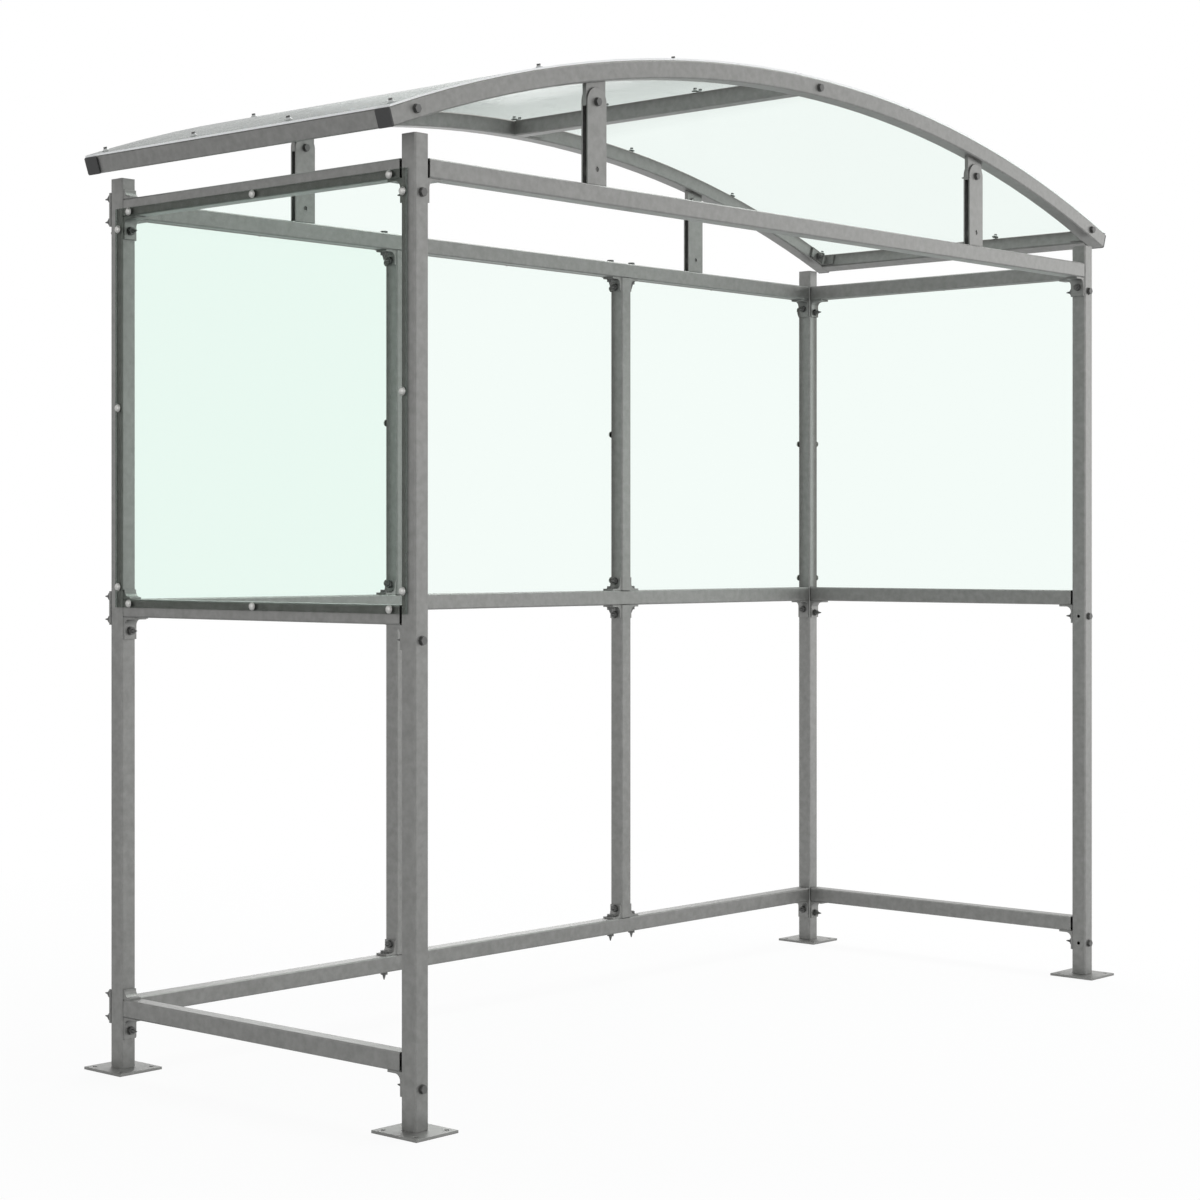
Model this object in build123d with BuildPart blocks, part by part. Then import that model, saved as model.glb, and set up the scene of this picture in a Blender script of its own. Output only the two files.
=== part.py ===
from build123d import *
from math import asin, cos, degrees, radians, sin, sqrt
import os

# Smoking shelter: a bolted frame of galvanised square tube with clear sheets on three sides
# and an arched clear roof. Millimetres, +Z up, open front towards -Y.
# The origin is on the ground, under the middle of the frame.

# Driving sizes of the frame
bay = 900.0  # upright centre to upright centre along the back
bay_count = 3
depth_pitch = 900.0  # front post centre to rear post centre
post_height = 2010.0
bottom_rail_underside = 122.0
rail_pitch = 900.0  # rail to rail, from bottom to middle to top

# Square tube
tube = 40.0
tube_wall = 2.5
tube_corner = 3.0  # leg of the flattened corner
arch_edge = 3.0  # the same on the rolled arch tube
rail_end_gap = 4.0  # between the end of a rail and the post

# Base plates
plate_side = 124.0
plate_thickness = 6.0
anchor_spacing = 90.0
anchor_hole = 11.0

# Bent brackets between posts and rails, and between mullions and rails
bracket_thickness = 5.0
bracket_width = 34.0
bracket_rail_leg = 40.0
bracket_post_leg = 50.0
bracket_bend = 14.0  # radius on the open side of the bend
mullion_bracket_leg = 36.0
upper_bracket_leg = 22.0  # small brackets above the left rails
post_hole = 9.0  # spare hole in the front right post, where no rail is fitted
post_hole_drop = 31.0  # its centre below the level of the rail

# Plates on the back of the rear left post, beside the rear sheet
back_plate_width = 20.0
back_plate_height = 76.0
back_plate_thickness = 5.0

# Clear sheets
panel_thickness = 5.0
panel_lap = 18.0  # over the posts and rails
sheet_thickness = 4.0

# Arched roof
arch_radius = 4320.0  # outer radius of the arch tube
arch_half_span = 1444.0
cap_thickness = 4.0
sheet_clearance = 0.1  # between the curved sheet and the tubes under it

# Roof struts with rounded ends, and the hangers under the arches that they are bolted to
strut_offset = 780.0  # from the middle of the shelter
strut_width = 64.0
strut_wall = 3.5
strut_bolt_rise = 182.0  # bolt centre above the top rail
strut_spare_hole_rise = 36.0
strut_hole = 11.0
hanger_thickness = 10.0
hanger_clearance = 0.5
hanger_width = 66.0
hanger_bolt_drop = 44.0  # bolt centre below the arch
hanger_end_margin = 11.0  # below the bolt centre

# Brackets between the purlins and the arches
purlin_bracket_leg = 66.0
purlin_bracket_return = 40.0
purlin_bracket_width = 30.0
purlin_bracket_bend = 6.0

# Sizes that follow from the ones above
post_x = bay * bay_count / 2
post_y = depth_pitch / 2
half_tube = tube / 2
side_face = post_x + half_tube
rear_face = post_y + half_tube
rail_undersides = {
    "bottom": bottom_rail_underside,
    "middle": bottom_rail_underside + rail_pitch,
    "top": bottom_rail_underside + 2 * rail_pitch,
}
side_rail_length = depth_pitch - tube - 2 * rail_end_gap
long_rail_length = bay * bay_count - tube - 2 * rail_end_gap
mullion_places = [-post_x + bay * step for step in range(1, bay_count)]
strut_foot = rail_undersides["top"] + tube
strut_bolt_height = strut_foot + strut_bolt_rise
strut_depth = hanger_thickness + 2 * hanger_clearance + 2 * strut_wall
arch_underside_radius = arch_radius - tube
arch_rise = sqrt(arch_underside_radius**2 - strut_offset**2)
arch_centre_height = strut_bolt_height + hanger_bolt_drop - arch_rise
arch_crown = arch_centre_height + arch_radius
arch_middle_radius = arch_radius - half_tube
arch_end_angle = degrees(asin(arch_half_span / arch_radius))
purlin_end_angle = arch_end_angle - degrees(half_tube / arch_middle_radius)
purlin_length = depth_pitch - tube

os.makedirs("parts", exist_ok=True)


def keep(piece, label):
    """Label a finished piece and write it to its own file."""
    piece.part.label = label
    export_step(piece.part, f"parts/{label}.step")
    print(f"{label}: {len(piece.part.solids())} solids, {piece.part.volume / 1000:.1f} cm3")


def tube_outline(corner):
    """Square with its four corners taken off, drawn in the current sketch."""
    across_corners = sqrt(2) * (tube - corner)
    Rectangle(tube, tube)
    Rectangle(across_corners, across_corners, rotation=45, mode=Mode.INTERSECT)


def tube_section(corner=tube_corner):
    """Square hollow section, drawn in the current sketch."""
    tube_outline(corner)
    Rectangle(tube - 2 * tube_wall, tube - 2 * tube_wall, mode=Mode.SUBTRACT)


# Corner posts on square base plates
for depth_name, y_side in (("front", -1), ("rear", 1)):
    for side_name, x_side in (("left", -1), ("right", 1)):
        post_place = (x_side * post_x, y_side * post_y)
        with BuildPart() as post:
            with BuildSketch(Plane.XY.offset(plate_thickness)):
                with Locations(post_place):
                    tube_section()
            extrude(amount=post_height - plate_thickness)
            if (depth_name, side_name) == ("front", "right"):
                for level in ("bottom", "middle"):
                    hole_place = (*post_place, rail_undersides[level] - post_hole_drop)
                    with BuildSketch(Plane(hole_place, z_dir=(-1, 0, 0))):
                        Circle(post_hole / 2)
                    extrude(amount=tube, mode=Mode.SUBTRACT)
        keep(post, f"{depth_name}_{side_name}_post")

        with BuildPart() as base_plate:
            with BuildSketch():
                with Locations(post_place):
                    Rectangle(plate_side, plate_side)
                    with GridLocations(anchor_spacing, anchor_spacing, 2, 2):
                        Circle(anchor_hole / 2, mode=Mode.SUBTRACT)
            extrude(amount=plate_thickness)
        keep(base_plate, f"{depth_name}_{side_name}_base_plate")

# Rails across the ends, at three heights
for side_name, x_side in (("left", -1), ("right", 1)):
    for level, underside in rail_undersides.items():
        rail_start = (x_side * post_x, -side_rail_length / 2, underside + half_tube)
        with BuildPart() as side_rail:
            with BuildSketch(Plane(rail_start, x_dir=(1, 0, 0), z_dir=(0, 1, 0))):
                tube_section()
            extrude(amount=side_rail_length)
        keep(side_rail, f"{side_name}_{level}_rail")

# Long rails: three along the back and one across the top of the open front
long_rails = [("rear", level, post_y) for level in rail_undersides] + [("front", "top", -post_y)]
for depth_name, level, rail_y in long_rails:
    rail_start = (-long_rail_length / 2, rail_y, rail_undersides[level] + half_tube)
    with BuildPart() as long_rail:
        with BuildSketch(Plane(rail_start, x_dir=(0, 1, 0), z_dir=(1, 0, 0))):
            tube_section()
        extrude(amount=long_rail_length)
    keep(long_rail, f"{depth_name}_{level}_rail")

# Mullions along the back, one length above the middle rail and one below it
levels = list(rail_undersides.values())
mullion_spans = {"lower": (levels[0] + tube, levels[1]), "upper": (levels[1] + tube, levels[2])}
for side_name, mullion_x in zip(("left", "right"), mullion_places):
    for span_name, (foot, head) in mullion_spans.items():
        with BuildPart() as mullion:
            with BuildSketch(Plane.XY.offset(foot)):
                with Locations((mullion_x, post_y)):
                    tube_section()
            extrude(amount=head - foot)
        keep(mullion, f"rear_{side_name}_{span_name}_mullion")

# Clear sheets over the upper half of both ends and of the three rear bays
panel_height = rail_pitch - tube + 2 * panel_lap
panel_centre_height = rail_undersides["middle"] + half_tube + rail_pitch / 2
side_panel_width = depth_pitch - tube + 2 * panel_lap
rear_panel_width = bay - tube + 2 * panel_lap
for side_name, x_side in (("left", -1), ("right", 1)):
    panel_face = Plane((x_side * side_face, 0, panel_centre_height), x_dir=(0, 1, 0), z_dir=(x_side, 0, 0))
    with BuildPart() as side_panel:
        with BuildSketch(panel_face):
            Rectangle(side_panel_width, panel_height)
        extrude(amount=panel_thickness)
    keep(side_panel, f"{side_name}_panel")
for bay_name, step in (("left", -1), ("centre", 0), ("right", 1)):
    with BuildPart() as rear_panel:
        panel_place = (step * bay, rear_face, panel_centre_height)
        with BuildSketch(Plane(panel_place, x_dir=(1, 0, 0), z_dir=(0, 1, 0))):
            Rectangle(rear_panel_width, panel_height)
        extrude(amount=panel_thickness)
    keep(rear_panel, f"rear_{bay_name}_panel")

# Arches: square tube rolled to one radius, over the front and the rear rails
for depth_name, y_side in (("front", -1), ("rear", 1)):
    arch_plane = Plane.XZ.offset(-y_side * post_y)
    with BuildPart() as arch:
        with BuildLine(arch_plane) as arch_line:
            CenterArc(
                (0, arch_centre_height), arch_middle_radius, 90 - arch_end_angle, 2 * arch_end_angle
            )
        arch_foot = Plane(arch_line.line @ 0, x_dir=(0, 1, 0), z_dir=arch_line.line % 0)
        with BuildSketch(arch_foot):
            tube_section(arch_edge)
        sweep()
    keep(arch, f"{depth_name}_arch")

# Plastic caps on the four ends of the arches
with BuildPart() as end_caps:
    for y_side in (-1, 1):
        for x_side in (-1, 1):
            lean = radians(arch_end_angle)
            cap_normal = (x_side * cos(lean), 0, -sin(lean))
            cap_centre = (
                x_side * arch_middle_radius * sin(lean),
                y_side * post_y,
                arch_centre_height + arch_middle_radius * cos(lean),
            )
            with BuildSketch(Plane(cap_centre, x_dir=(0, 1, 0), z_dir=cap_normal)):
                tube_outline(arch_edge)
            extrude(amount=cap_thickness)
keep(end_caps, "arch_end_caps")


def purlin_plane(angle, y):
    """Plane across a purlin that leans by this many degrees from the crown."""
    lean = radians(angle)
    radius = arch_middle_radius - sheet_clearance
    place = (radius * sin(lean), y, arch_centre_height + radius * cos(lean))
    return Plane(place, x_dir=(cos(lean), 0, -sin(lean)), z_dir=(0, 1, 0))


# Purlins between the arches, turned with the curve
purlin_angles = {"left": -purlin_end_angle, "crown": 0.0, "right": purlin_end_angle}
for purlin_name, angle in purlin_angles.items():
    with BuildPart() as purlin:
        with BuildSketch(purlin_plane(angle, -purlin_length / 2)):
            tube_section()
        extrude(amount=purlin_length)
    keep(purlin, f"{purlin_name}_purlin")

# Curved clear sheet that lies on the arches and the purlins
with BuildPart() as roof_sheet:
    with BuildSketch(Plane.XZ.offset(-rear_face)):
        with Locations((0, arch_centre_height)):
            Circle(arch_radius + sheet_clearance + sheet_thickness)
            Circle(arch_radius + sheet_clearance, mode=Mode.SUBTRACT)
        with Locations((0, arch_crown)):
            Rectangle(2 * arch_half_span, 2 * arch_half_span, mode=Mode.INTERSECT)
    extrude(amount=2 * rear_face)
keep(roof_sheet, "roof_sheet")


def strut_x(side_name):
    """Middle of a roof strut along the shelter."""
    return -strut_offset if side_name == "left" else strut_offset


# Roof struts: flat bars folded into a narrow U on the top rails, with rounded ends at the arch
for depth_name, y_side in (("front", -1), ("rear", 1)):
    for side_name in ("left", "right"):
        strut_place = (strut_x(side_name), y_side * post_y + strut_depth / 2, strut_foot)
        strut_plane = Plane(strut_place, x_dir=(1, 0, 0), z_dir=(0, -1, 0))
        straight = strut_bolt_height - strut_foot
        with BuildPart() as strut:
            with BuildSketch(strut_plane):
                with Locations((0, straight / 2)):
                    Rectangle(strut_width, straight)
                with Locations((0, straight)):
                    Circle(strut_width / 2)
                with Locations((0, straight), (0, strut_spare_hole_rise)):
                    Circle(strut_hole / 2, mode=Mode.SUBTRACT)
            extrude(amount=strut_depth)
            with BuildSketch(strut_plane.offset(strut_wall)):
                with Locations((0, strut_wall)):
                    Rectangle(strut_width, straight + strut_width, align=(Align.CENTER, Align.MIN))
            extrude(amount=strut_depth - 2 * strut_wall, mode=Mode.SUBTRACT)
            fillet(strut.edges().filter_by(Axis.X).group_by(Axis.Z)[0], strut_wall)
        keep(strut, f"{depth_name}_{side_name}_roof_strut")

# Hangers: plates under the arches, between the cheeks of the struts
with BuildPart() as hangers:
    for y_side in (-1, 1):
        for side_name in ("left", "right"):
            middle = strut_x(side_name)
            hanger_foot = strut_bolt_height - hanger_end_margin
            with BuildSketch(Plane.XZ.offset(-y_side * post_y - hanger_thickness / 2)):
                with Locations((middle, hanger_foot)):
                    Rectangle(hanger_width, 2 * hanger_bolt_drop, align=(Align.CENTER, Align.MIN))
                with Locations((middle, strut_bolt_height)):
                    Circle(strut_hole / 2, mode=Mode.SUBTRACT)
                with Locations((0, arch_centre_height)):
                    Circle(arch_underside_radius, mode=Mode.INTERSECT)
            extrude(amount=hanger_thickness)
keep(hangers, "arch_hangers")


def keep_brackets(label, seats, width, bend):
    """Build bent flat brackets as one piece and write it out.

    Each seat gives the corner where two faces meet, the directions of the two legs and
    their lengths.
    """
    with BuildPart() as brackets:
        for corner, along, beside, legs in seats:
            across = Vector(*along).cross(Vector(*beside))
            seat_plane = Plane(corner, x_dir=along, z_dir=across).offset(-width / 2)
            inside = bracket_thickness + bend
            with BuildSketch(seat_plane):
                Rectangle(legs[0], bracket_thickness, align=(Align.MIN, Align.MIN))
                Rectangle(bracket_thickness, legs[1], align=(Align.MIN, Align.MIN))
                Rectangle(inside, inside, align=(Align.MIN, Align.MIN))
                with Locations((inside, inside)):
                    Circle(bend, mode=Mode.SUBTRACT)
            extrude(amount=width)
    keep(brackets, label)


# Brackets under the ends of the side rails, and above them at the rear left post
corner_legs = (bracket_rail_leg, bracket_post_leg)
upper_legs = (upper_bracket_leg, upper_bracket_leg)
for side_name, x_side in (("left", -1), ("right", 1)):
    seats = []
    for underside in rail_undersides.values():
        for y_side in (-1, 1):
            corner = (x_side * post_x, y_side * (post_y - half_tube), underside)
            seats.append((corner, (0, -y_side, 0), (0, 0, -1), corner_legs))
        if side_name == "left":
            upper_corner = (-post_x, post_y - half_tube, underside + tube)
            seats.append((upper_corner, (0, -1, 0), (0, 0, 1), upper_legs))
    keep_brackets(f"{side_name}_rail_brackets", seats, bracket_width, bracket_bend)

# Brackets under the ends of the long rails
seats = []
for y_side, undersides in ((-1, levels[-1:]), (1, levels)):
    for underside in undersides:
        for x_side in (-1, 1):
            corner = (x_side * (post_x - half_tube), y_side * post_y, underside)
            seats.append((corner, (-x_side, 0, 0), (0, 0, -1), corner_legs))
keep_brackets("long_rail_brackets", seats, bracket_width, bracket_bend)

# Brackets at both ends of each mullion, on both of its sides
mullion_legs = (mullion_bracket_leg, mullion_bracket_leg)
seats = []
for mullion_x in mullion_places:
    for foot, head in mullion_spans.values():
        for x_side in (-1, 1):
            mullion_face = mullion_x + x_side * half_tube
            seats.append(((mullion_face, post_y, foot), (x_side, 0, 0), (0, 0, 1), mullion_legs))
            seats.append(((mullion_face, post_y, head), (x_side, 0, 0), (0, 0, -1), mullion_legs))
keep_brackets("mullion_brackets", seats, bracket_width, bracket_bend)

# Brackets that hold the ends of the purlins to the arches, on the side towards the crown
purlin_legs = (purlin_bracket_leg, purlin_bracket_return)
seats = []
for angle in purlin_angles.values():
    inward = 1 if angle <= 0 else -1
    for y_side in (-1, 1):
        plane = purlin_plane(angle, y_side * purlin_length / 2)
        corner = plane.from_local_coords((inward * half_tube, 0, 0))
        seats.append((tuple(corner), tuple(plane.x_dir * inward), (0, -y_side, 0), purlin_legs))
keep_brackets("purlin_brackets", seats, purlin_bracket_width, purlin_bracket_bend)

# Plates on the back of the rear left post, one behind each rail
with BuildPart() as back_plates:
    for underside in rail_undersides.values():
        plate_place = (back_plate_width / 2 - side_face, rear_face, underside + half_tube)
        with BuildSketch(Plane(plate_place, x_dir=(1, 0, 0), z_dir=(0, 1, 0))):
            Rectangle(back_plate_width, back_plate_height)
        extrude(amount=back_plate_thickness)
keep(back_plates, "rear_left_back_plates")
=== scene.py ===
# %% [markdown]
# A walk-in smoking shelter: galvanised square tube bolted together, clear sheets round the
# upper half and a curved clear roof on two rolled arches. The tubes, plates, brackets and
# sheets come in as finished solids, each a mesh at its real place. They could be modelled
# again here, but then two versions of one size might drift apart, so their shapes are left
# alone. This lesson gives them their surfaces, adds the bolts that hold them, and sets up a
# studio that shows them as the photograph does. Every length is in metres.

# %% Load the solids
import math

import bpy
from mathutils import Matrix, Vector


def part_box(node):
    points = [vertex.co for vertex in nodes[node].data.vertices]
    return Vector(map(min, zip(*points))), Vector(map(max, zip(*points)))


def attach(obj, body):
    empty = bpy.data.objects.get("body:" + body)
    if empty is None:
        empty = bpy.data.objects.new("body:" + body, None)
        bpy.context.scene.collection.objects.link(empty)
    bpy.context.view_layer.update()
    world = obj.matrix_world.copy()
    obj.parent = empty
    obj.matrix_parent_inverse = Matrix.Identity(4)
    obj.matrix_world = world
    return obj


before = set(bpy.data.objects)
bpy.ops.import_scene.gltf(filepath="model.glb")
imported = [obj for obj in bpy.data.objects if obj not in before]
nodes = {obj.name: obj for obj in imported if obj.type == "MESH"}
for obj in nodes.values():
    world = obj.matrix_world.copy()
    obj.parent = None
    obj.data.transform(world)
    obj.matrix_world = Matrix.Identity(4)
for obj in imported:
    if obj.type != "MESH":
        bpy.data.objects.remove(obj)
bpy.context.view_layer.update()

# %% [markdown]
# Colours are easiest to note as hex values, the way a paint chart or an image editor gives
# them. Blender's shaders reckon in linear light, where a mid grey is about 0.22 and not 0.5.
# Linear numbers could be typed straight in, but nobody can picture them, so one function
# turns a hex value into linear light.


# %% Colours from hex
def linear(hex_value):
    """Linear red, green, blue and alpha for an sRGB hex value such as #8f8f8c."""
    channels = [int(hex_value[i : i + 2], 16) / 255 for i in (1, 3, 5)]
    bright = [c / 12.92 if c <= 0.04045 else ((c + 0.055) / 1.055) ** 2.4 for c in channels]
    return bright + [1.0]


print("mid grey in linear light:", [round(c, 3) for c in linear("#808080")])

# %% [markdown]
# A material is a small network of nodes. Each node takes the same three steps: add it, set
# its own values, and link its inputs to what feeds them. Written out every time, those steps
# would bury what a material is made from, so one helper takes all three. It works for any
# kind of tree: the materials first, and the bolts' Geometry Nodes further on.


# %% Add a node
def add_node(tree, kind, values=None, links=None, **settings):
    """Add a node, set its properties and its plain inputs, and link sources into the others."""
    node = tree.nodes.new(kind)
    for name, value in settings.items():
        setattr(node, name, value)
    for socket, value in (values or {}).items():
        node.inputs[socket].default_value = value
    for socket, source in (links or {}).items():
        tree.links.new(source, node.inputs[socket])
    return node


def new_material(name):
    """An empty material, its tree, and the output that a shader is linked to."""
    material = bpy.data.materials.new(name)
    material.use_nodes = True
    tree = material.node_tree
    tree.nodes.clear()
    return material, tree, add_node(tree, "ShaderNodeOutputMaterial")


print("helpers: add_node, new_material")

# %% [markdown]
# Hot-dip galvanised steel. The tubes are dipped in molten zinc, which freezes to a dull grey
# skin with faint cloudy patches, the spangle, 10 to 20 mm across, and an orange-peel grain.
# The skin is partly oxide, so it is a little less than fully metallic, and it is too rough
# for clear reflections: broad light makes the top faces pale and leaves the undersides dark.
# A picture of zinc wrapped round each tube would show joins at the corners. Noise that fills
# space, as the figure fills a block of stone, has none, so two noises make patches and grain.


# %% Zinc patches
patch_scale = 55.0  # a noise's features are about 1 / scale wide: here 18 mm


def zinc_patches(tree, place):
    """Colour and roughness of the skin, both led by the same cloudy patches."""
    cloud = add_node(
        tree,
        "ShaderNodeTexNoise",
        {"Scale": patch_scale, "Detail": 3.0, "Roughness": 0.6},
        {"Vector": place},
    )
    tone = add_node(tree, "ShaderNodeValToRGB", links={"Fac": cloud.outputs["Fac"]})
    stops = ((0.32, "#7f7f7d"), (0.68, "#8d8d8b"))
    for element, (position, grey) in zip(tone.color_ramp.elements, stops):
        element.position = position
        element.color = linear(grey)
    rough = add_node(
        tree,
        "ShaderNodeMapRange",
        {"To Min": 0.42, "To Max": 0.58},
        {"Value": cloud.outputs["Fac"]},
    )
    return tone.outputs["Color"], rough.outputs["Result"]


print(f"zinc patches about {1000 / patch_scale:.0f} mm across")

# %% [markdown]
# The molten zinc also softens every corner. Rounding each tube's edges in its mesh would
# multiply its faces for something a millimetre wide. The Bevel node rounds only the direction
# in which the surface seems to face, near an edge, and the grain is a bump on top of that.

# %% Zinc grain and corners
grain_scale = 420.0  # 2.4 mm: the real grain is finer, and is drawn coarser so that it shows
corner_radius = 0.002


def zinc_relief(tree, place):
    """Direction of the surface with soft corners and the orange-peel grain."""
    grain = add_node(
        tree,
        "ShaderNodeTexNoise",
        {"Scale": grain_scale, "Detail": 2.0, "Roughness": 0.5},
        {"Vector": place},
    )
    corners = add_node(tree, "ShaderNodeBevel", {"Radius": corner_radius}, samples=4)
    bump = add_node(
        tree,
        "ShaderNodeBump",
        {"Strength": 0.12, "Distance": 0.0004},
        {"Height": grain.outputs["Fac"], "Normal": corners.outputs["Normal"]},
    )
    return bump.outputs["Normal"]


print(f"zinc grain {1000 / grain_scale:.1f} mm, corners {1000 * corner_radius:.0f} mm")

# %% [markdown]
# Patches and relief meet in one Principled shader. It is made for surfaces like this: one
# node that can be nearly metal and rough at once, where older mixes took several.


# %% Galvanised steel
def galvanised_steel():
    """Dull zinc skin: cloudy patches, fine grain, soft gloss."""
    material, tree, output = new_material("hot_dip_galvanised_steel")
    place = add_node(tree, "ShaderNodeTexCoord").outputs["Object"]
    tone, rough = zinc_patches(tree, place)
    shader = add_node(
        tree,
        "ShaderNodeBsdfPrincipled",
        {"Metallic": 0.85},
        {"Base Color": tone, "Roughness": rough, "Normal": zinc_relief(tree, place)},
    )
    tree.links.new(shader.outputs["BSDF"], output.inputs["Surface"])
    return material


steel = galvanised_steel()
print("steel has", len(steel.node_tree.nodes), "nodes")

# %% [markdown]
# Clear plastic sheet, 4 to 5 mm thick, with a faint green tint. Looked at square on, it only
# tints what is behind it. Looked at along its surface, it turns grey and milky. A Glass shader
# could make it, but it bends light in every sheet, which takes many samples to render clean
# and casts shadows that are too dark. A Transparent shader lets light go straight on, as
# a thin pane does, and a share of hazy plastic is mixed over it.
#
# First the part that light goes through. The tint is set for one face of the sheet, and a look
# through the sheet passes two faces, so it shows squared. A ray that comes from right under
# the sheet, less than 30 mm away, finds a duller tint than one from afar. So the sheet dims
# a tube that it lies on, as in the photograph, and leaves the open air behind it clear.

# %% The clear part of a sheet
under_sheet = 0.03


def clear_part(tree):
    """Transparent shader with a pale green tint, duller for light from right under the sheet."""
    rays = add_node(tree, "ShaderNodeLightPath")
    far = add_node(
        tree,
        "ShaderNodeMath",
        {1: under_sheet},
        {0: rays.outputs["Ray Length"]},
        operation="GREATER_THAN",
    )
    open_air = add_node(
        tree,
        "ShaderNodeMath",
        links={0: rays.outputs["Is Camera Ray"], 1: far.outputs["Value"]},
        operation="MAXIMUM",
    )
    tint = add_node(
        tree,
        "ShaderNodeMix",
        {6: linear("#d6d7d5"), 7: linear("#fafefc")},
        {0: open_air.outputs["Value"]},
        data_type="RGBA",
    )
    clear = add_node(tree, "ShaderNodeBsdfTransparent", links={"Color": tint.outputs[2]})
    return clear.outputs["BSDF"]


print(f"light from nearer than {1000 * under_sheet:.0f} mm is dimmed")

# %% [markdown]
# Then the part that light stops at: the haze on the wide faces, and the sawn edges, where
# the light that is caught inside the sheet comes out. The edges could be faces with a material
# of their own, but the solids come with one slot each. The direction of the surface tells
# them apart just as well: an edge is where it turns away from the sheet's own axis.


# %% The edges of a sheet
def edge_mark(tree, facing, face_axis):
    """1 on the sawn edges and 0 on the wide faces, from the direction of the surface."""
    parts = add_node(tree, "ShaderNodeSeparateXYZ", links={"Vector": facing})
    turned = add_node(
        tree, "ShaderNodeMath", links={0: parts.outputs[face_axis]}, operation="ABSOLUTE"
    )
    edge = add_node(
        tree,
        "ShaderNodeMapRange",
        {"From Min": 0.6, "From Max": 0.4},
        {"Value": turned.outputs["Value"]},
    )
    return edge.outputs["Result"]


print("edges are told by the direction of the surface")

# %% [markdown]
# The haze itself is ordinary plastic. Its gloss varies in smears about 60 mm long, the marks
# that wiping leaves, so a lamp's reflection in it has no hard outline.

# %% The hazy part of a sheet
smear_scale = 16.0


def hazy_part(tree, place, edge, haze_hex, edge_hex):
    """Plastic with smeared gloss, in one colour on the wide faces and one on the edges."""
    smears = add_node(
        tree, "ShaderNodeTexNoise", {"Scale": smear_scale, "Detail": 4.0}, {"Vector": place}
    )
    gloss = add_node(
        tree,
        "ShaderNodeMapRange",
        {"To Min": 0.16, "To Max": 0.34},
        {"Value": smears.outputs["Fac"]},
    )
    colour = add_node(
        tree,
        "ShaderNodeMix",
        {6: linear(haze_hex), 7: linear(edge_hex)},
        {0: edge},
        data_type="RGBA",
    )
    haze = add_node(
        tree,
        "ShaderNodeBsdfPrincipled",
        {"IOR": 1.5},
        {"Base Color": colour.outputs[2], "Roughness": gloss.outputs["Result"]},
    )
    return haze.outputs["BSDF"]


print(f"smears about {1000 / smear_scale:.0f} mm long")

# %% [markdown]
# What is left is how much haze covers the clear part. On the wide faces it is a thin veil
# that thickens where the sheet is looked at along its surface. Layer Weight gives that slant,
# and it holds from any side. On the edges it is a fixed share.


# %% The share of haze
def haze_share(tree, edge, edge_share, veil):
    """How much of the light the haze stops, at the edges and on the wide faces."""
    edge_cover = add_node(
        tree, "ShaderNodeMath", {1: edge_share}, {0: edge}, operation="MULTIPLY"
    )
    slant = add_node(tree, "ShaderNodeLayerWeight", {"Blend": 0.5})
    milky = add_node(
        tree,
        "ShaderNodeMapRange",
        {"From Min": 0.78, "From Max": 1.0, "To Min": veil, "To Max": 0.72},
        {"Value": slant.outputs["Facing"]},
    )
    cover = add_node(
        tree,
        "ShaderNodeMath",
        links={0: edge_cover.outputs["Value"], 1: milky.outputs["Result"]},
        operation="MAXIMUM",
    )
    return cover.outputs["Value"]


print("the veil is thickest along the surface")

# %% [markdown]
# The sheets differ in which way they face and in their edges. The edges of the flat sheets
# show grey. The roof's are painted white, a painted highlight of the light from above, and
# the roof also has a little more veil. One function with those differences as its inputs
# makes all three.


# %% Clear sheets
def clear_sheet(name, face_axis, haze_hex, edge_hex, edge_share, veil):
    """Clear sheet whose wide faces point along face_axis: 0, 1 or 2 for X, Y or Z."""
    material, tree, output = new_material(name)
    place = add_node(tree, "ShaderNodeTexCoord")
    edge = edge_mark(tree, place.outputs["Normal"], face_axis)
    blend = add_node(
        tree,
        "ShaderNodeMixShader",
        links={
            "Fac": haze_share(tree, edge, edge_share, veil),
            1: clear_part(tree),
            2: hazy_part(tree, place.outputs["Object"], edge, haze_hex, edge_hex),
        },
    )
    tree.links.new(blend.outputs["Shader"], output.inputs["Surface"])
    return material


flat_haze = ("#8b958f", "#8b958f")
end_sheet = clear_sheet("clear_plastic_end_sheet", 0, *flat_haze, edge_share=0.55, veil=0.006)
rear_sheet = clear_sheet("clear_plastic_rear_sheet", 1, *flat_haze, edge_share=0.55, veil=0.006)
# painted highlight: the white is the colour of the roof's edges
roof_haze_and_highlight = ("#9a9d9b", "#ffffff")
roof_clear = clear_sheet("clear_plastic_roof_sheet", 2, *roof_haze_and_highlight, edge_share=0.95, veil=0.025)
print("clear sheets:", end_sheet.name, rear_sheet.name, roof_clear.name)

# %% [markdown]
# The caps on the ends of the arches are moulded plastic, matte and slightly grainy. They are
# called black, but light on the grain lifts black plastic to a dark grey, and that is the
# colour to set. The grain could be modelled, but a bump costs nothing and shows the same.

# %% Black caps
mould_grain_scale = 900.0  # 1.1 mm: several times the real grain, so that it shows


def moulded_plastic():
    """Matte black moulded plastic with the fine grain of its mould."""
    material, tree, output = new_material("moulded_black_plastic")
    place = add_node(tree, "ShaderNodeTexCoord").outputs["Object"]
    grain = add_node(
        tree, "ShaderNodeTexNoise", {"Scale": mould_grain_scale, "Detail": 2.0}, {"Vector": place}
    )
    bump = add_node(
        tree,
        "ShaderNodeBump",
        {"Strength": 0.2, "Distance": 0.0002},
        {"Height": grain.outputs["Fac"]},
    )
    shader = add_node(
        tree,
        "ShaderNodeBsdfPrincipled",
        {"Base Color": linear("#3a3a3a"), "Roughness": 0.6},
        {"Normal": bump.outputs["Normal"]},
    )
    tree.links.new(shader.outputs["BSDF"], output.inputs["Surface"])
    return material


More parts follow.
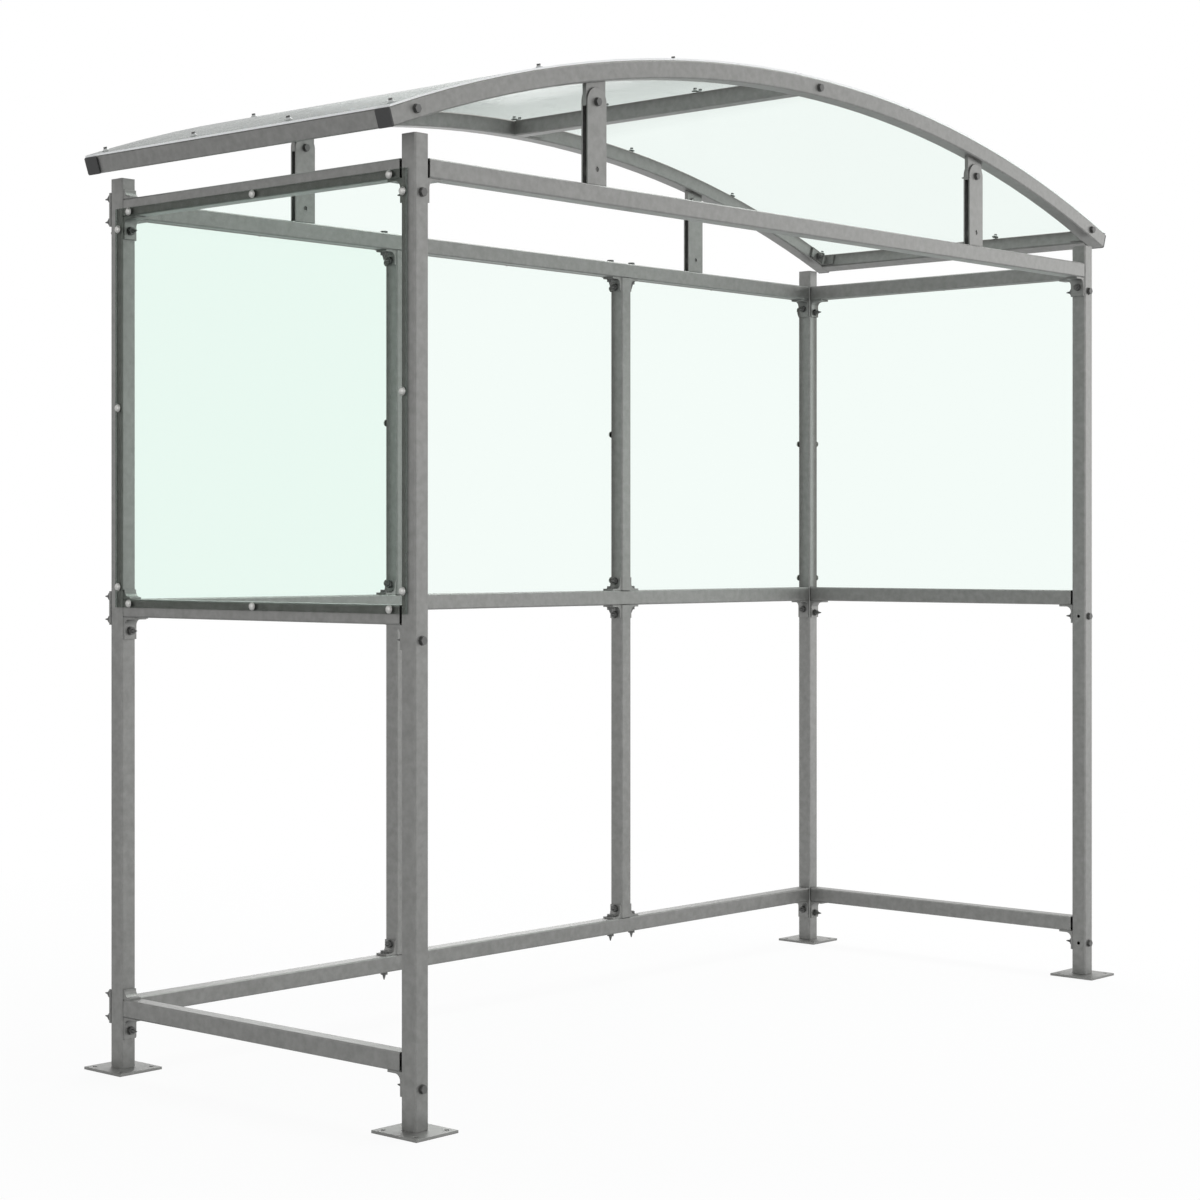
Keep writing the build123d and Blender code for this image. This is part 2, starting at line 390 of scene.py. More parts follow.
cap_plastic = moulded_plastic()
print(f"{cap_plastic.name}: grain {1000 / mould_grain_scale:.1f} mm")

# %% [markdown]
# Bolts are bright zinc plated, smoother than the dipped tubes, and set a little darker: the
# darker colour is painted shade, for the shade round heads and nuts. The dome heads on the
# sheets are polished stainless, and the buttons on the roof are pale moulded nylon. None of
# them is even all over: plating and handling leave the gloss in patches about 3 mm across on
# metal, and moulding in patches half as wide on nylon. One function covers all three, with
# the patches in the roughness alone, because an uneven colour would look like dirt at this size.


# %% Finishes of the fasteners
def uneven_gloss(name, gloss_scale, smoothest, roughest, values):
    """A finish whose roughness wanders between two values in patches of 1 / gloss_scale."""
    material, tree, output = new_material(name)
    place = add_node(tree, "ShaderNodeTexCoord").outputs["Object"]
    patches = add_node(
        tree, "ShaderNodeTexNoise", {"Scale": gloss_scale, "Detail": 2.0}, {"Vector": place}
    )
    gloss = add_node(
        tree,
        "ShaderNodeMapRange",
        {"To Min": smoothest, "To Max": roughest},
        {"Value": patches.outputs["Fac"]},
    )
    shader = add_node(
        tree, "ShaderNodeBsdfPrincipled", values, {"Roughness": gloss.outputs["Result"]}
    )
    tree.links.new(shader.outputs["BSDF"], output.inputs["Surface"])
    return material


# painted shade: the bolts' darker base colour stands for the shade round heads and nuts
zinc_plate = {"Base Color": linear("#696968"), "Metallic": 1.0}
plated = uneven_gloss("zinc_plated_bolt_steel", 300.0, 0.50, 0.63, zinc_plate)
stainless = {"Base Color": linear("#b9b9b6"), "Metallic": 1.0}
polished = uneven_gloss("polished_stainless_dome", 300.0, 0.25, 0.38, stainless)
pale_nylon = {"Base Color": linear("#d9dbd9"), "IOR": 1.53}
nylon = uneven_gloss("moulded_nylon_button", 600.0, 0.35, 0.5, pale_nylon)
print("fastener finishes:", plated.name, polished.name, nylon.name)

# %% [markdown]
# Each solid arrives with a plain stand-in finish in its slot. All but the sheets and the caps
# are galvanised. A finish could be chosen for each solid in turn, but most of the lines would
# say the same, so the few that differ are listed by name and steel is the rule.

# %% Dress the solids
finishes = {"arch_end_caps": cap_plastic, "roof_sheet": roof_clear}
finishes.update({f"{end}_panel": end_sheet for end in ("left", "right")})
finishes.update({f"rear_{bay}_panel": rear_sheet for bay in ("left", "centre", "right")})
for node_name, solid in nodes.items():
    for slot in solid.material_slots:
        slot.material = finishes.get(node_name, steel)
print("dressed", len(nodes), "solids,", len(nodes) - len(finishes), "of them in steel")

# %% [markdown]
# A bolt repeats dozens of times. Each could be a copied object placed by hand, but a change of
# size would then have to be made in every copy. Here each kind of bolt is described once, as
# a Geometry Nodes tree, and a cloud of points says where the bolts go. Every tree begins the
# same way, with the points and the bolt's sizes as named inputs.


# %% The start of a bolt tree
def bolt_inputs(name, sizes):
    """A new tree that takes points and the named sizes and gives bolts, with its input node."""
    tree = bpy.data.node_groups.new(name, "GeometryNodeTree")
    tree.interface.new_socket("Places", in_out="INPUT", socket_type="NodeSocketGeometry")
    for size_name, size in sizes.items():
        socket = tree.interface.new_socket(
            size_name, in_out="INPUT", socket_type="NodeSocketFloat"
        )
        socket.default_value = size
    tree.interface.new_socket("Bolts", in_out="OUTPUT", socket_type="NodeSocketGeometry")
    return tree, add_node(tree, "NodeGroupInput")


print("helper: bolt_inputs")

# %% [markdown]
# Every tree also ends the same way. Each point carries the direction in which its bolt is
# driven, and one copy of the bolt is put there, turned to that heading. The copies are made
# real, because an export drops instances, and only then given their material.


# %% The end of a bolt tree
def place_on_points(tree, given, bolt, material):
    """Put one copy of the bolt on each point, turned to the point's own heading."""
    heading = add_node(
        tree, "GeometryNodeInputNamedAttribute", {"Name": "heading"}, data_type="FLOAT_VECTOR"
    )
    turn = add_node(
        tree,
        "FunctionNodeAlignRotationToVector",
        links={"Vector": heading.outputs["Attribute"]},
        axis="Z",
    )
    copies = add_node(
        tree,
        "GeometryNodeInstanceOnPoints",
        links={
            "Points": given.outputs["Places"],
            "Instance": bolt.outputs["Geometry"],
            "Rotation": turn.outputs["Rotation"],
        },
    )
    real = add_node(
        tree, "GeometryNodeRealizeInstances", links={"Geometry": copies.outputs["Instances"]}
    )
    painted = add_node(
        tree,
        "GeometryNodeSetMaterial",
        {"Material": material},
        {"Geometry": real.outputs["Geometry"]},
    )
    add_node(tree, "NodeGroupOutput", links={"Bolts": painted.outputs["Geometry"]})
    print(f"{tree.name} tree has {len(tree.nodes)} nodes")
    return tree


print("helper: place_on_points")

# %% [markdown]
# The frame is held by 10 mm hexagon bolts. The tree stands one along +Z from the seat of its
# head: the head and its washer are below 0, the stack of metal that it grips is from 0 to Grip,
# and the second washer, the nut and the tapered tip come after. A thread could be cut into the
# shank, but its turns are 1.5 mm apart and nobody could see them from here. Each part is a row
# of a table: what it is made from, and its level as a share of the grip plus a length.

# %% The through bolt
washer_height, head_height, nut_height = 0.0016, 0.0053, 0.0065
bolt_sizes = {
    "Grip": 0.045,
    "Tip": 0.017,
    "Shank radius": 0.0048,
    "Head radius": 0.0092,
    "Washer radius": 0.01,
}


def bolt_parts(tree, size):
    """Rows of mesh node, plain sizes, linked sizes, share of the grip and length past it."""
    rod, cone = "GeometryNodeMeshCylinder", "GeometryNodeMeshCone"
    shank_length = add_node(
        tree, "ShaderNodeMath", {1: washer_height}, {0: size["Grip"]}, operation="ADD"
    ).outputs["Value"]
    washer = ({"Vertices": 20, "Depth": washer_height}, {"Radius": size["Washer radius"]})
    head = ({"Vertices": 6, "Depth": head_height}, {"Radius": size["Head radius"]})
    nut = ({"Vertices": 6, "Depth": nut_height}, {"Radius": size["Head radius"]})
    shank = ({"Vertices": 16}, {"Radius": size["Shank radius"], "Depth": shank_length})
    tip = (
        {"Vertices": 16, "Radius Top": 0.0012},
        {"Radius Bottom": size["Shank radius"], "Depth": size["Tip"]},
    )
    return [
        (rod, *washer, 0.0, -washer_height / 2),
        (rod, *head, 0.0, -washer_height - head_height / 2),
        (rod, *washer, 1.0, washer_height / 2),
        (rod, *nut, 1.0, washer_height + nut_height / 2),
        (rod, *shank, 0.5, washer_height / 2),
        (cone, *tip, 1.0, washer_height + nut_height),
    ]


bolt_length = head_height + nut_height + 2 * washer_height + bolt_sizes["Grip"] + bolt_sizes["Tip"]
print(f"a bolt is {1000 * bolt_length:.0f} mm long over all")

# %% [markdown]
# The rows become nodes in one loop: the part, its level up the bolt, and a move to there. The
# parts only touch and aren't fused, which is how they are on the real bolt, and a fused mesh
# would show the same with more work.


# %% Join the parts of a bolt
def through_bolt():
    """Hexagon bolt with two washers and a nut, driven along +Z from the head's seat."""
    tree, given = bolt_inputs("through_bolt", bolt_sizes)
    bolt = add_node(tree, "GeometryNodeJoinGeometry")
    for kind, plain, linked, share, length in bolt_parts(tree, given.outputs):
        part = add_node(tree, kind, plain, linked)
        level = add_node(
            tree,
            "ShaderNodeMath",
            {1: share, 2: length},
            {0: given.outputs["Grip"]},
            operation="MULTIPLY_ADD",
        )
        place = add_node(tree, "ShaderNodeCombineXYZ", links={"Z": level.outputs["Value"]})
        moved = add_node(
            tree,
            "GeometryNodeTransform",
            links={"Geometry": part.outputs["Mesh"], "Translation": place.outputs["Vector"]},
        )
        tree.links.new(moved.outputs["Geometry"], bolt.inputs["Geometry"])
    return place_on_points(tree, given, bolt, plated)


bolt_tree = through_bolt()
print("sizes of the through bolt:", ", ".join(bolt_sizes))

# %% [markdown]
# The flat sheets are held by dome-headed bolts: a thin rim and a low round head. Only what
# stands above the sheet is made, because the rest is in the tube. The dome could be turned
# from a drawn outline, but a sphere that is flattened and cut in half gives the same shape
# from two sizes. The buttons on the roof are such domes too, in nylon.


# %% The dome
def half_dome(tree, size):
    """The upper half of a sphere, flattened from its radius to its height."""
    ball = add_node(
        tree,
        "GeometryNodeMeshUVSphere",
        {"Segments": 20, "Rings": 12},
        {"Radius": size["Dome radius"]},
    )
    ratio = add_node(
        tree,
        "ShaderNodeMath",
        links={0: size["Dome height"], 1: size["Dome radius"]},
        operation="DIVIDE",
    )
    flat = add_node(
        tree, "ShaderNodeCombineXYZ", {"X": 1.0, "Y": 1.0}, {"Z": ratio.outputs["Value"]}
    )
    dome = add_node(
        tree,
        "GeometryNodeTransform",
        links={"Geometry": ball.outputs["Mesh"], "Scale": flat.outputs["Vector"]},
    )
    spot = add_node(tree, "GeometryNodeInputPosition")
    level = add_node(tree, "ShaderNodeSeparateXYZ", links={"Vector": spot.outputs["Position"]})
    below = add_node(
        tree,
        "FunctionNodeCompare",
        {"B": -0.0001},
        {"A": level.outputs["Z"]},
        operation="LESS_THAN",
    )
    return add_node(
        tree,
        "GeometryNodeDeleteGeometry",
        links={"Geometry": dome.outputs["Geometry"], "Selection": below.outputs["Result"]},
    ).outputs["Geometry"]


print("helper: half_dome")

# %% [markdown]
# The rim under the dome is a flat disc, a little wider than any of the domes. The same disc
# serves the bolts and the buttons.

# %% The dome bolt
rim_radius, rim_height = 0.0088, 0.0012


def dome_bolt(name, dome_radius, dome_height, material):
    """Dome on a thin rim, standing along +Z from the sheet's face."""
    tree, given = bolt_inputs(name, {"Dome radius": dome_radius, "Dome height": dome_height})
    rim = add_node(
        tree,
        "GeometryNodeMeshCylinder",
        {"Vertices": 20, "Depth": rim_height, "Radius": rim_radius},
    ).outputs["Mesh"]
    whole = add_node(tree, "GeometryNodeJoinGeometry")
    for part, level in ((half_dome(tree, given.outputs), rim_height), (rim, rim_height / 2)):
        moved = add_node(
            tree, "GeometryNodeTransform", {"Translation": (0, 0, level)}, {"Geometry": part}
        )
        tree.links.new(moved.outputs["Geometry"], whole.inputs["Geometry"])
    smooth = add_node(
        tree, "GeometryNodeSetShadeSmooth", links={"Geometry": whole.outputs["Geometry"]}
    )
    return place_on_points(tree, given, smooth, material)


dome_tree = dome_bolt("dome_bolt", 0.0078, 0.0052, polished)
button_tree = dome_bolt("roof_button", 0.0064, 0.0046, nylon)
print(f"rim {2000 * rim_radius:.1f} mm across")

# %% [markdown]
# The roof screws differ: each has a pale button that spreads its load on the curved sheet,
# and a small hexagon head that stands out of the top of the button. From the side the button
# is lost against the light and only the dark head shows. Head and button are separate
# pieces, because one is steel and the other nylon.

# %% The head of a roof screw
stud_height = 0.004


def screw_head():
    """Small hexagon head that stands along +Z above its button."""
    tree, given = bolt_inputs("roof_screw_head", {"Head radius": 0.0043, "Rise": 0.0066})
    head = add_node(
        tree,
        "GeometryNodeMeshCylinder",
        {"Vertices": 6, "Depth": stud_height},
        {"Radius": given.outputs["Head radius"]},
    )
    rise = add_node(tree, "ShaderNodeCombineXYZ", links={"Z": given.outputs["Rise"]})
    raised = add_node(
        tree,
        "GeometryNodeTransform",
        links={"Geometry": head.outputs["Mesh"], "Translation": rise.outputs["Vector"]},
    )
    return place_on_points(tree, given, raised, plated)


stud_tree = screw_head()
print(f"screw head {1000 * stud_height:.0f} mm high")

# %% [markdown]
# Now the points. A place and a heading are enough for one bolt, and a mesh without faces holds
# many of them: its points are the places, and an attribute on each point is its heading. An
# empty object for each bolt would do the same, with dozens of objects to look after.


# %% Points with headings
def point_cloud(name, places):
    """An object whose points are the places, each with its heading."""
    cloud = bpy.data.meshes.new(name + "_places")
    cloud.from_pydata([place for place, heading in places], [], [])
    headings = cloud.attributes.new("heading", "FLOAT_VECTOR", "POINT")
    for index, (place, heading) in enumerate(places):
        headings.data[index].vector = heading
    carrier = bpy.data.objects.new(name + "_carrier", cloud)
    bpy.context.scene.collection.objects.link(carrier)
    return carrier


print("helper: point_cloud")

# %% [markdown]
# A tree runs as a modifier on the cloud. The result is kept as a plain mesh with its place in
# its points, at the origin and unturned, because that is how a piece has to be handed over.
# A size that differs from the tree's own is set on the modifier by its socket's identifier.


# %% Turn points into bolts
def fit_bolts(name, tree, places, sizes=None):
    """Run a bolt tree on (place, heading) pairs and keep the result as a plain mesh."""
    carrier = point_cloud(name, places)
    modifier = carrier.modifiers.new("bolts", "NODES")
    modifier.node_group = tree
    for item in tree.interface.items_tree:
        if item.in_out == "INPUT" and item.name in (sizes or {}):
            modifier[item.identifier] = sizes[item.name]
    bpy.context.view_layer.update()
    ready = carrier.evaluated_get(bpy.context.evaluated_depsgraph_get())
    mesh = bpy.data.meshes.new_from_object(ready)
    carrier.modifiers.remove(modifier)
    bpy.data.objects.remove(carrier)
    piece = bpy.data.objects.new(name, mesh)
    mesh.name = name
    bpy.context.scene.collection.objects.link(piece)
    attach(piece, "root")
    print(f"{name}: {len(places)} bolts, {len(mesh.polygons)} faces")


print("helper: fit_bolts")

# %% [markdown]
# The bolts of a flat sheet stand 9 mm in from its edges: three along every side, the outer
# ones 46 mm from the corners. That is what the photograph shows on the left sheet. Their
# places could be typed in, but the sheet's own box gives them for any sheet, so they stay
# right if a sheet changes.

# %% Places round a flat sheet
edge_margin = 0.009
corner_step = 0.046


def sheet_bolts(sheet_name, axis, side):
    """Twelve places round a sheet, on the face that points along side of this axis."""
    low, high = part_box(sheet_name)
    across = 1 - axis
    heading = Vector((0, 0, 0))
    heading[axis] = side
    runs, rises = [
        [low[way] + corner_step, (low[way] + high[way]) / 2, high[way] - corner_step]
        for way in (across, 2)
    ]
    spots = [(run, z) for run in runs for z in (low[2] + edge_margin, high[2] - edge_margin)]
    spots += [
        (run, z) for z in rises for run in (low[across] + edge_margin, high[across] - edge_margin)
    ]
    places = []
    for run, z in spots:
        place = Vector((0, 0, z))
        place[axis] = high[axis] if side > 0 else low[axis]
        place[across] = run
        places.append((place, heading))
    return places


print("left sheet has", len(sheet_bolts("left_panel", 0, -1)), "bolts")

# %% [markdown]
# The two end sheets face along X, one to each side, and the three rear sheets face along Y to
# the back. All their bolts are alike, so their places go into one list and one piece.

# %% Bolts on the flat sheets
flat_sheet_places = sheet_bolts("left_panel", 0, -1) + sheet_bolts("right_panel", 0, 1)
for bay in ("left", "centre", "right"):
    flat_sheet_places += sheet_bolts(f"rear_{bay}_panel", 1, 1)
fit_bolts("sheet_dome_bolts", dome_tree, flat_sheet_places)

# %% [markdown]
# The roof sheet is one arc, bent over the arches and screwed to the tubes below it. Each screw
# leans with the curve, so its place needs the radius. That isn't stated anywhere, but the
# width and the rise of the roof's box give it, as they do for any arc. Reading places off the
# sheet's mesh would also work, but only for the points that the mesh happens to have.

# %% The curve of the roof
roof_low, roof_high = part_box("roof_sheet")
half_span = roof_high.x
sheet_thickness = 0.004
rise = roof_high.z - roof_low.z - sheet_thickness
roof_radius = (half_span**2 + rise**2) / (2 * rise)
roof_centre = roof_high.z - roof_radius


def on_roof(lean, y):
    """Place and heading of a screw on the outside of the curved sheet."""
    heading = Vector((math.sin(lean), 0, math.cos(lean)))
    return (Vector((0, y, roof_centre)) + heading * roof_radius, heading)


print(f"roof radius {roof_radius:.3f} m, centre {roof_centre:.3f} m")

# %% [markdown]
# Along each arch there are four screws on each side of the middle, evenly spaced on the
# curve. Each outer purlin gets two more between its ends, and so do the two rows over the
# crown purlin, where the screws stand in pairs. The photograph shows the left half, and the
# right half mirrors it.

# %% Screws on the roof sheet
pair_x, outer_x, row_y = 0.0105, 1.409, 0.44
thirds = [step / 3 for step in range(4)]
first_lean, last_lean = (math.asin(x / roof_radius) for x in (pair_x, outer_x))
leans = [first_lean + (last_lean - first_lean) * third for third in thirds]
inner_rows = [-row_y + 2 * row_y * third for third in thirds[1:-1]]
roof_places = [
    on_roof(side * lean, y) for side in (-1, 1) for lean in leans for y in (-row_y, row_y)
]
roof_places += [
    on_roof(side * lean, y)
    for side in (-1, 1)
    for lean in (first_lean, last_lean)
    for y in inner_rows
]
fit_bolts("roof_screw_buttons", button_tree, roof_places)
fit_bolts("roof_screws", stud_tree, roof_places)

# %% [markdown]
# The bent brackets are bolted through the tubes. At the posts the head is on the outside and
# the nut and tip are on the bracket, inside the shelter. At the top, where a sheet laps over
# the post, the bolt also goes through the sheet. Where two bolts cross in one post they are
# set at different heights so that they clear each other. The brackets repeat at every corner,
# so loops over the levels and the sides place their bolts, with the few exceptions as tests.

# %% Bolts along Y through the posts
post_x, post_y, half_tube, tube = 1.35, 0.45, 0.02, 0.04
bracket_gauge, sheet_gauge = 0.005, 0.005
levels = [0.122, 1.022, 1.922]  # undersides of the bottom, middle and top rails
bolt_drop, crossing = 0.031, 0.005
post_places, top_places = [], []
for level in levels:
    for x_side in (-1, 1):
        for y_side in (-1, 1):
            crossed = x_side > 0 and (y_side > 0 or level == levels[-1])
            through_sheet = y_side > 0 and level == levels[-1]
            outside = post_y + half_tube + through_sheet * sheet_gauge
            height = level - bolt_drop - crossed * crossing
            start = Vector((x_side * post_x, y_side * outside, height))
            places = top_places if through_sheet else post_places
            places.append((start, Vector((0, -y_side, 0))))
print(len(post_places), "bolts through posts alone,", len(top_places), "through a sheet too")

# %% [markdown]
# On the right end the brackets are also bolted from the outside of the end, across the
# bolts above. The two lower ones go through the rear post alone. The top two, front and rear,
# pass through the end sheet first, which makes their grip longer.

# %% Bolts along X through the right posts
end_height = bolt_drop - crossing
for level in levels[:-1]:
    start = Vector((post_x + half_tube, post_y, level - end_height))
    post_places.append((start, Vector((-1, 0, 0))))
for y_side in (-1, 1):
    start = (post_x + half_tube + sheet_gauge, y_side * post_y, levels[-1] - end_height)
    top_places.append((Vector(start), Vector((-1, 0, 0))))
short_grip = tube + bracket_gauge
fit_bolts("post_bracket_bolts", bolt_tree, post_places, {"Grip": short_grip, "Tip": 0.014})
sheet_grip = short_grip + sheet_gauge
fit_bolts("post_top_bolts", bolt_tree, top_places, {"Grip": sheet_grip, "Tip": 0.014})

# %% [markdown]
# At the mullions two brackets share one bolt through the mullion, which is the shortest way
# to hold both, and each bracket has one more bolt through the rail. The middle rail has
# a bracket above and below it, so its bolts grip two brackets as well.

# %% Places at the mullions
bolt_reach = 0.026
mullion_x = 0.45
bracket_levels = [levels[0] + tube, levels[1], levels[1] + tube, levels[2]]
mullion_places, rail_places, middle_rail_places = [], [], []
for middle in (-mullion_x, mullion_x):
    for level, way in zip(bracket_levels, (1, -1, 1, -1)):
        start = Vector((middle + half_tube + bracket_gauge, post_y, level + way * bolt_reach))
        mullion_places.append((start, Vector((-1, 0, 0))))
    for side in (-1, 1):
        x = middle + side * (half_tube + bolt_reach)
        for level, gap, places in (
            (levels[0], bracket_gauge, rail_places),
            (levels[2], 0, rail_places),
            (levels[1], bracket_gauge, middle_rail_places),
        ):
            places.append((Vector((x, post_y, level + tube + gap)), Vector((0, 0, -1))))
rail_count = len(rail_places) + len(middle_rail_places)
print(len(mullion_places), "bolts through mullions,", rail_count, "through rails")

# %% [markdown]
# The three kinds come from one tree. Only the grip and the tip differ, and they are set for
# each piece, so the long bolts need no tree of their own.

# %% Bolts at the mullions
long_grip = tube + 2 * bracket_gauge
fit_bolts("mullion_bolts", bolt_tree, mullion_places, {"Grip": long_grip, "Tip": 0.009})
fit_bolts("rail_bolts", bolt_tree, rail_places, {"Grip": short_grip, "Tip": 0.013})
fit_bolts("middle_rail_bolts", bolt_tree, middle_rail_places, {"Grip": long_grip, "Tip": 0.009})

# %% [markdown]
# Longer bolts are the pivots of the roof struts. They pass through both cheeks of a strut and
# the plate between them. The rounded end of a strut is half a circle about its pivot, so the
# strut's own box gives the pivot's height: half its width below its top.

# %% Pivots of the roof struts
strut_x = 0.78
strut_low, strut_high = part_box("front_left_roof_strut")
strut_depth = strut_high.y - strut_low.y
pivot_height = strut_high.z - (strut_high.x - strut_low.x) / 2
pivot_places = [
    (Vector((x, y - strut_depth / 2, pivot_height)), Vector((0, 1, 0)))
    for x in (-strut_x, strut_x)
    for y in (-post_y, post_y)
]
fit_bolts("strut_pivot_bolts", bolt_tree, pivot_places, {"Grip": strut_depth, "Tip": 0.016})
print("pivot height", round(pivot_height, 4))

# %% [markdown]
# Shorter bolts hold the purlin brackets to the arches, three on each arch: one near each end
# and one beside the crown. They are measured along the arch's middle line, as a maker would
# mark them out on the rolled tube, and an angle is that length over the radius.

# %% Bolts through the arches
arch_radius = roof_radius - sheet_thickness - half_tube
purlin_step, end_step = 0.05, 0.04
end_lean = math.asin((half_span - half_tube) / arch_radius) - half_tube / arch_radius
arch_leans = [
    -end_lean + end_step / arch_radius,
    purlin_step / arch_radius,
    end_lean - end_step / arch_radius,
]
arch_places = []
for lean in arch_leans:
    x, z = arch_radius * math.sin(lean), roof_centre + arch_radius * math.cos(lean)
    for y_side in (-1, 1):
        start = Vector((x, y_side * (post_y + half_tube), z))
        arch_places.append((start, Vector((0, -y_side, 0))))
fit_bolts("arch_bracket_bolts", bolt_tree, arch_places, {"Grip": short_grip, "Tip": 0.014})

# %% [markdown]
# The flat plates on the back of the rear left post are each held by two bolts, above and
# below the rail. Their heads are inside the tube, so the grip is the tube's wall and the
# plate, and the nuts and long tips show at the back. A bolt through the whole post could hold
# them too, but it would meet the bolts of the brackets.

# %% Bolts of the back plates
tube_wall, plate_gauge, plate_reach = 0.0025, 0.005, 0.026
plate_low, plate_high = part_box("rear_left_back_plates")
plate_x = (plate_low.x + plate_high.x) / 2
plate_places = []
for level in levels:
    for side in (-1, 1):
        height = level + half_tube + side * plate_reach
        start = Vector((plate_x, post_y + half_tube - tube_wall, height))
        plate_places.append((start, Vector((0, 1, 0))))
plate_grip = tube_wall + plate_gauge
fit_bolts("back_plate_bolts", bolt_tree, plate_places, {"Grip": plate_grip, "Tip": 0.016})

# %% [markdown]
# The studio: a plain pale floor, soft lamps and a white surround. Enough lamp light would turn
# any floor white, but it would bleach the shelter too. So the floor shines by itself for the
# camera, fully from 3.5 m away and a little less close by, where the shelter's soft
# shadow has to show. Reflections find it half shining, and for all other light it is matte.

# %% Where the floor shines
shadow_from, shadow_to, shadow_share = 1.5, 3.5, 0.92


def floor_glow(tree):
    """How much of the floor shines by itself, by distance from the shelter and kind of ray."""
    rays = add_node(tree, "ShaderNodeLightPath")
    place = add_node(tree, "ShaderNodeTexCoord").outputs["Object"]
    distance = add_node(tree, "ShaderNodeVectorMath", links={0: place}, operation="LENGTH")
    share = add_node(
        tree,
        "ShaderNodeMapRange",
        {"From Min": shadow_from, "From Max": shadow_to, "To Min": shadow_share, "To Max": 1.0},
        {"Value": distance.outputs["Value"]},
    ).outputs["Result"]
    looked_at = add_node(
        tree,
        "ShaderNodeMath",
        links={0: rays.outputs["Is Camera Ray"], 1: rays.outputs["Is Transmission Ray"]},
        operation="MAXIMUM",
    ).outputs["Value"]
    seen = add_node(
        tree, "ShaderNodeMath", links={0: looked_at, 1: share}, operation="MULTIPLY"
    ).outputs["Value"]
    mirrored = add_node(
        tree, "ShaderNodeMath", {1: 0.5}, {0: rays.outputs["Is Glossy Ray"]}, operation="MULTIPLY"
    ).outputs["Value"]
    return add_node(
        tree, "ShaderNodeMath", links={0: seen, 1: mirrored}, operation="MAXIMUM"
    ).outputs["Value"]


print(f"the shadow shows within {shadow_to} m")

# %% [markdown]
# The glow and the matte floor are two shaders, and the share mixes them. The floor is a single
# flat face, large enough that its far side is out of sight. It isn't part of the shelter.


# %% Lay the floor
def pale_floor():
    """Matte floor that reads as white and still takes a soft shadow near the shelter."""
    material, tree, output = new_material("pale_studio_floor")
    matte = add_node(tree, "ShaderNodeBsdfDiffuse", {"Color": linear("#f2f2f2")})
    white = add_node(tree, "ShaderNodeEmission", {"Strength": 1.0})
    blend = add_node(
        tree,
        "ShaderNodeMixShader",
        links={"Fac": floor_glow(tree), 1: matte.outputs["BSDF"], 2: white.outputs["Emission"]},
    )
    tree.links.new(blend.outputs["Shader"], output.inputs["Surface"])
    return material


reach = 14.0
floor_mesh = bpy.data.meshes.new("floor")
floor_corners = [(-reach, -reach, 0), (reach, -reach, 0), (reach, reach, 0), (-reach, reach, 0)]
floor_mesh.from_pydata(floor_corners, [], [(0, 1, 2, 3)])
floor = bpy.data.objects.new("floor", floor_mesh)
bpy.context.scene.collection.objects.link(floor)
floor.data.materials.append(pale_floor())
print("floor laid,", 2 * reach, "m square")

# %% [markdown]
# The surround lights the shelter softly from everywhere, as a white room does. One strength
# can't serve both jobs: at 1 it is a white background, but too much light on the object. So
# the camera, reflections and glass see white at 1, and everything else gets 0.55.

# %% Surround
world = bpy.data.worlds.new("studio")
bpy.context.scene.world = world
world.use_nodes = True
sky = world.node_tree
sky.nodes.clear()
sky_output = add_node(sky, "ShaderNodeOutputWorld")
fill = add_node(sky, "ShaderNodeBackground", {"Color": linear("#f4f6f8"), "Strength": 0.55})
backdrop = add_node(sky, "ShaderNodeBackground", {"Color": (1, 1, 1, 1), "Strength": 1.0})
rays = add_node(sky, "ShaderNodeLightPath").outputs
white_for = rays["Is Camera Ray"]
for kind in ("Is Glossy Ray", "Is Transmission Ray"):
    white_for = add_node(
        sky, "ShaderNodeMath", links={0: white_for, 1: rays[kind]}, operation="MAXIMUM"
    ).outputs["Value"]
shown = add_node(
    sky,
    "ShaderNodeMixShader",
    links={"Fac": white_for, 1: fill.outputs["Background"], 2: backdrop.outputs["Background"]},
)
sky.links.new(shown.outputs["Shader"], sky_output.inputs["Surface"])
print("surround has", len(sky.nodes), "nodes")

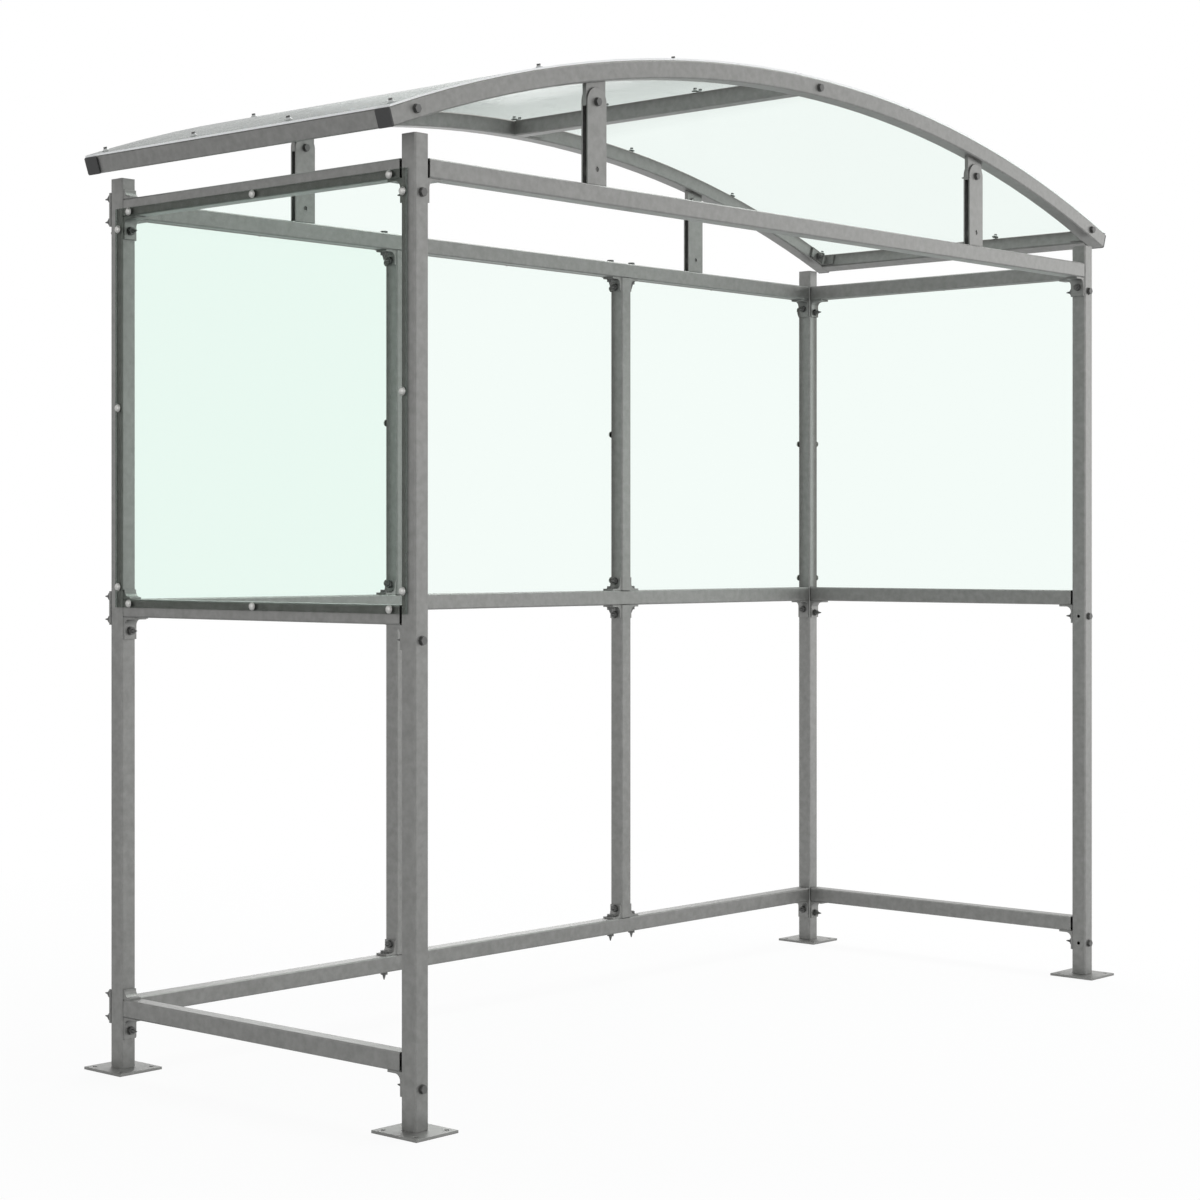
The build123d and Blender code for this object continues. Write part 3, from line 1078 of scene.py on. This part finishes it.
# %% [markdown]
# Five broad square lamps shape the frame: one overhead for the pale tops of the rails, one
# each in front, to the right and to the left for the three kinds of side face, and one
# behind for the back. A single sun would be simpler, but its hard shadows and small
# highlights don't belong in a studio. Lamps 3 to 4 m wide give the soft edges that rough zinc
# has in the photograph.


# %% Lamps
def soft_lamp(name, place, aim, width, watts):
    """Square area lamp that points from its place at its aim."""
    light = bpy.data.lights.new(name, "AREA")
    light.shape = "SQUARE"
    light.size = width
    light.energy = watts
    lamp = bpy.data.objects.new(name, light)
    bpy.context.scene.collection.objects.link(lamp)
    turn = (Vector(aim) - Vector(place)).to_track_quat("-Z", "Y").to_matrix().to_4x4()
    lamp.matrix_world = Matrix.Translation(place) @ turn
    print(f"{name}: {watts} W, {width} m wide")


soft_lamp("overhead", (3.2, 0.6, 5.8), (0, 0, 0.5), 4.0, 240)
soft_lamp("front", (0.5, -8.0, 1.8), (0, 0, 1.3), 4.0, 74)
soft_lamp("right", (8.0, -4.6, 1.9), (0, 0, 1.3), 4.0, 108)
soft_lamp("side", (-8.0, -1.0, 1.5), (0, 0, 1.1), 4.0, 40)
soft_lamp("behind", (6.2, 6.6, 2.3), (-0.3, 0.4, 0.3), 3.0, 80)

# %% [markdown]
# The camera stands where the photograph was taken from. It could be moved by hand until the
# picture looks right, but a frame of straight tubes allows better: its place, direction and
# lens were worked out from the corners of the frame in the photograph. It looks level, and the
# picture is shifted sideways because the shelter stands to the right of the lens axis.

# %% Camera
focal_pixels, picture_pixels, sensor_width = 2562.14, 1200, 36.0
camera_data = bpy.data.cameras.new("camera")
camera_data.sensor_width = sensor_width
camera_data.lens = focal_pixels / picture_pixels * sensor_width
camera_data.shift_x = 0.225
camera_data.shift_y = -0.0412
camera_data.clip_end = 100.0
camera = bpy.data.objects.new("camera", camera_data)
bpy.context.scene.collection.objects.link(camera)
camera.location = (-5.12426, -3.96397, 1.17174)
camera.rotation_euler = (math.radians(90), 0.0, -0.788)
bpy.context.scene.camera = camera
bpy.context.scene.view_settings.view_transform = "Standard"
print("camera at", tuple(camera.location))
